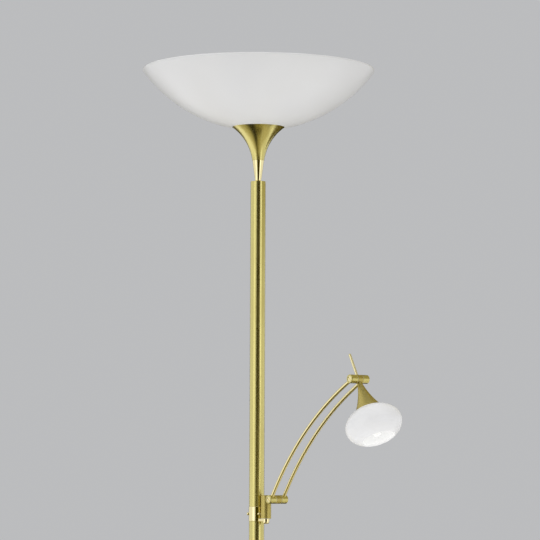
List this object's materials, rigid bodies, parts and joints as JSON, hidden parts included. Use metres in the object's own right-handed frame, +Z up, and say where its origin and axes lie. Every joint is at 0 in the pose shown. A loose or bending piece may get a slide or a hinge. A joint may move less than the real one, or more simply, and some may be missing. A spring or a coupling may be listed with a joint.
{
  "type": "floor lamp",
  "caption": "Brass torchiere floor lamp: round weighted base, slim pole, flared cup with opal glass bowl, and a swivelling two-rod arm with a tilting opal reading light.",
  "frame": {"origin": "centre of the base's underside, where the lamp stands on the floor", "axes": "+Z up along the pole; +X from the pole towards the reading arm at rest; the arm's two hinges turn about Y"},
  "size_m": [0.5252, 0.387, 1.8052],
  "materials": {
    "brushed_brass": "fine circumferential brush, matt lacquer",
    "polished_brass": "polished and lacquered",
    "iron": "cast, black paint",
    "zinc_steel": "zinc plated",
    "bright_aluminium": "bright rolled",
    "opal_glass": "white opal glass, satin",
    "clear_glass": "clear",
    "white_ceramic": "unglazed steatite",
    "white_plastic": "moulded",
    "black_plastic": "moulded",
    "nylon": "turned",
    "black_rubber": "moulded",
    "silicone": "moulded",
    "cable_sheath": "extruded",
    "felt": "pressed felt"
  },
  "bodies": {
    "root": {"base_cover": "brushed_brass", "base_weight": "iron", "base_felt": "felt", "base_nipple": "zinc_steel", "cord_bushing": "black_rubber", "terminal_block": "white_plastic", "foot_rosette": "polished_brass", "pole_lower": "brushed_brass", "pole_joint": "polished_brass", "pole_middle": "brushed_brass", "pole_upper": "brushed_brass", "pole_cap": "brushed_brass", "supply_lead": "cable_sheath", "torchiere_lead": "cable_sheath", "switch_collar": "polished_brass", "dimmer_module": "black_plastic", "stem_cone": "polished_brass", "bowl_cup": "brushed_brass", "bowl_seat": "zinc_steel", "bowl_gaskets": "silicone", "bowl_glass": "opal_glass", "bowl_disc": "zinc_steel", "bowl_tube": "zinc_steel", "tube_nuts": "zinc_steel", "lamp_bracket": "zinc_steel", "lamp_sockets": "white_ceramic", "lamp_ends": "white_ceramic", "halogen_tube": "clear_glass", "reflector": "bright_aluminium", "guard_pane": "clear_glass", "guard_clips": "zinc_steel", "swivel_bracket": "polished_brass", "swivel_spindle": "zinc_steel", "swivel_washer": "nylon"},
    "yoke": {"swivel_post": "brushed_brass", "post_cap": "brushed_brass", "hinge_lug": "brushed_brass"},
    "arm": {"lower_barrel_near": "brushed_brass", "lower_barrel_far": "brushed_brass", "upper_barrel_near": "brushed_brass", "upper_barrel_far": "brushed_brass", "rod_near": "polished_brass", "rod_far": "polished_brass", "arm_leads": "silicone", "hinge_axles": "polished_brass", "hinge_nuts": "polished_brass", "hinge_washers": "nylon"},
    "head": {"head_knuckle": "brushed_brass", "tilt_handle": "polished_brass", "head_tube": "polished_brass", "reading_cup": "brushed_brass", "reading_glass": "opal_glass", "reading_gasket": "silicone", "reading_nut": "zinc_steel", "reading_socket": "white_ceramic", "reading_bulb": "clear_glass"},
    "reading_switch": {"reading_button": "polished_brass"},
    "torchiere_switch": {"torchiere_button": "polished_brass"}
  },
  "joints": [
    {"name": "arm_swivel", "type": "hinge", "parent": "root", "child": "yoke", "pos_m": [0.024, 0, 1.0762], "axis": [0, 0, 1], "range_deg": [-100, 100]},
    {"name": "arm_lift", "type": "hinge", "parent": "yoke", "child": "arm", "pos_m": [0.052, 0, 1.0884], "axis": [0, -1, 0], "range_deg": [-50, 25]},
    {"name": "head_tilt", "type": "hinge", "parent": "arm", "child": "head", "pos_m": [0.2511, 0, 1.2805], "axis": [0, -1, 0], "range_deg": [-40, 75]},
    {"name": "reading_press", "type": "slide", "parent": "root", "child": "reading_switch", "axis": [-0.9239, 0.3827, 0], "range_m": [0, 0.001], "stiffness_N_per_m": 500, "springref_m": -0.001},
    {"name": "torchiere_press", "type": "slide", "parent": "root", "child": "torchiere_switch", "axis": [0.6428, 0.766, 0], "range_m": [0, 0.001], "stiffness_N_per_m": 500, "springref_m": -0.001}
  ]
}
